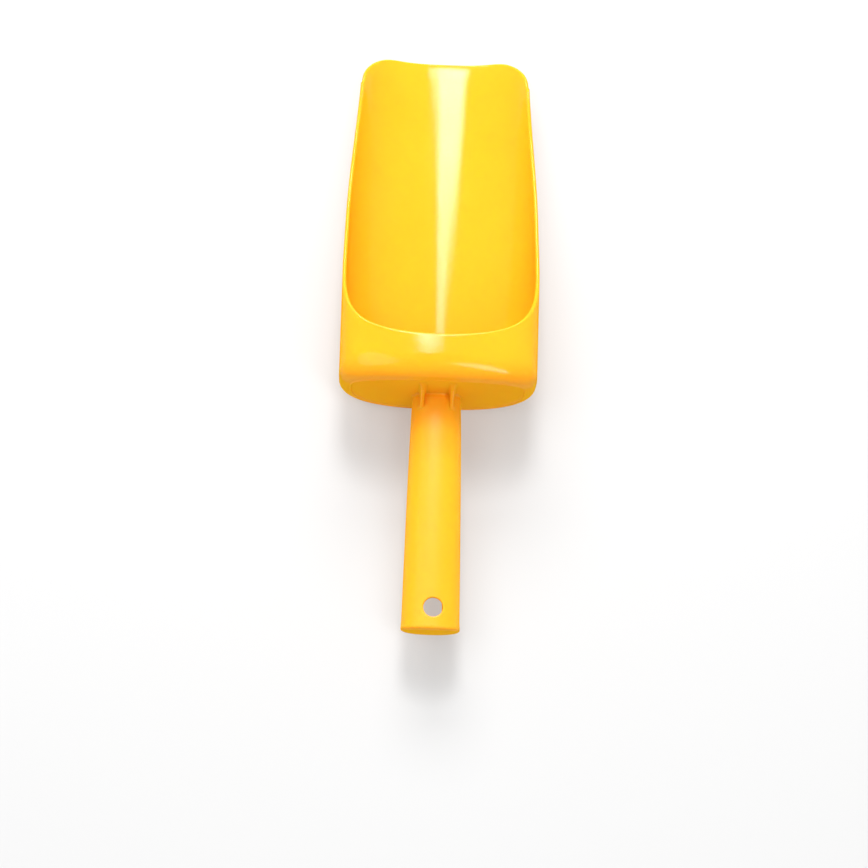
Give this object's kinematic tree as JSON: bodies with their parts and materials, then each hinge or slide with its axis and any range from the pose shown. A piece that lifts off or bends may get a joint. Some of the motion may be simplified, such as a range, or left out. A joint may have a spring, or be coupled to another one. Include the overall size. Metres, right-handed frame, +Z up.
{
  "type": "feed scoop",
  "caption": "One-handed plastic feed scoop: a long open trough with a short hood and closed back, on a hollow oval handle with a hang hole.",
  "frame": {"origin": "on the plane that the base rests on, under the middle of the whole length and width", "axes": "+Z up, +Y out of the bowl's mouth (the handle runs along -Y), +X to the right"},
  "size_m": [0.12, 0.3832, 0.0756],
  "materials": {
    "yellow_plastic": "glossy moulded polypropylene, bright lemon yellow"
  },
  "bodies": {
    "root": {"scoop_bowl": "yellow_plastic", "handle_tube": "yellow_plastic", "handle_end_cap": "yellow_plastic", "gusset_left": "yellow_plastic", "gusset_right": "yellow_plastic"}
  },
  "joints": []
}
